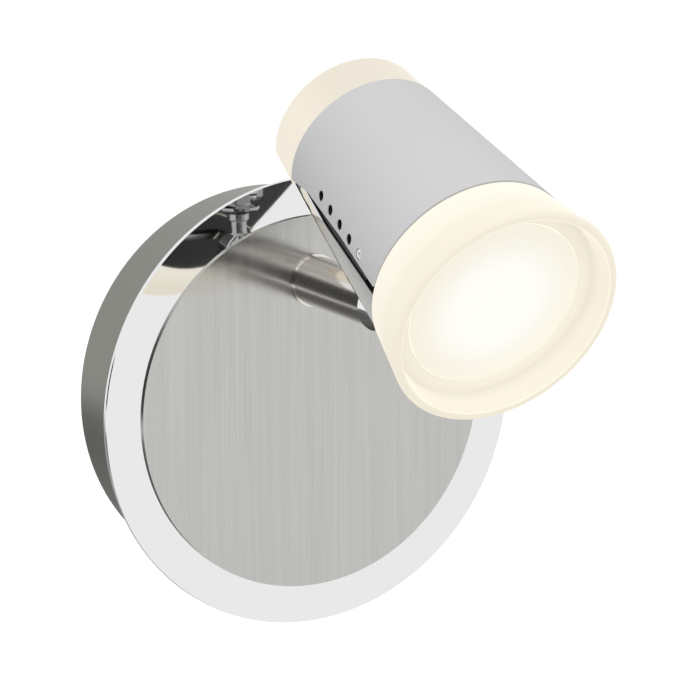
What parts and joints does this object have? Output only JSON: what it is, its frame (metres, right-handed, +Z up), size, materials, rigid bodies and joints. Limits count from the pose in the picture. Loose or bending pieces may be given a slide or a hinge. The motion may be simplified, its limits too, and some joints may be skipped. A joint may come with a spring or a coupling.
{
  "type": "pivoting spotlight wall light",
  "caption": "Wall spotlight: round chrome and brushed canopy, short arm and a tapered grey head with frosted ends that swivels and tilts.",
  "frame": {"origin": "middle of the canopy on the wall plane", "axes": "+Z up, +Y into the wall, the light stands out toward -Y, +X to the right as seen facing the wall"},
  "size_m": [0.12, 0.1387, 0.1541],
  "materials": {
    "zinc_steel": "zinc plated",
    "nickel_satin": "satin nickel",
    "nickel_brushed": "brushed nickel, vertical grain",
    "nickel_arm": "fine satin nickel",
    "chrome": "polished",
    "grey_paint": "satin light grey paint",
    "black_core": "black anodised",
    "white_plastic": "matt white",
    "washer_plastic": "matt black",
    "led_yellow": "phosphor",
    "brass": "plain",
    "acrylic": "frosted acrylic",
    "acrylic_opal": "opal acrylic, lit from behind"
  },
  "bodies": {
    "canopy": {"wall_strap": "zinc_steel", "canopy_cup": "nickel_satin", "front_plate": "chrome", "brushed_disc": "nickel_brushed", "side_screws": "chrome", "driver": "white_plastic", "terminal_block": "white_plastic", "earth_screw": "brass", "arm_tube": "nickel_arm", "arm_ring": "chrome", "arm_washer": "zinc_steel", "arm_nut": "zinc_steel", "knuckle": "chrome", "pivot_post": "chrome"},
    "hub": {"swivel_washer": "washer_plastic", "swivel_hub": "chrome"},
    "head": {"head_shell": "grey_paint", "shell_screws": "chrome", "head_tray": "chrome", "head_core": "black_core", "led_board": "white_plastic", "led_chips": "led_yellow", "board_screws": "zinc_steel", "reflector": "white_plastic", "front_cup": "acrylic", "front_diffuser": "acrylic_opal", "rear_cap": "acrylic", "tilt_pin": "chrome", "tilt_nut": "zinc_steel"}
  },
  "joints": [
    {"name": "head_swivel", "type": "hinge", "parent": "canopy", "child": "hub", "pos_m": [0, -0.0722, 0.0446], "axis": [0, 0, 1], "range_deg": [-85, 85]},
    {"name": "head_tilt", "type": "hinge", "parent": "hub", "child": "head", "pos_m": [0, -0.0722, 0.0494], "axis": [1, 0, 0], "range_deg": [-24, 24]}
  ]
}
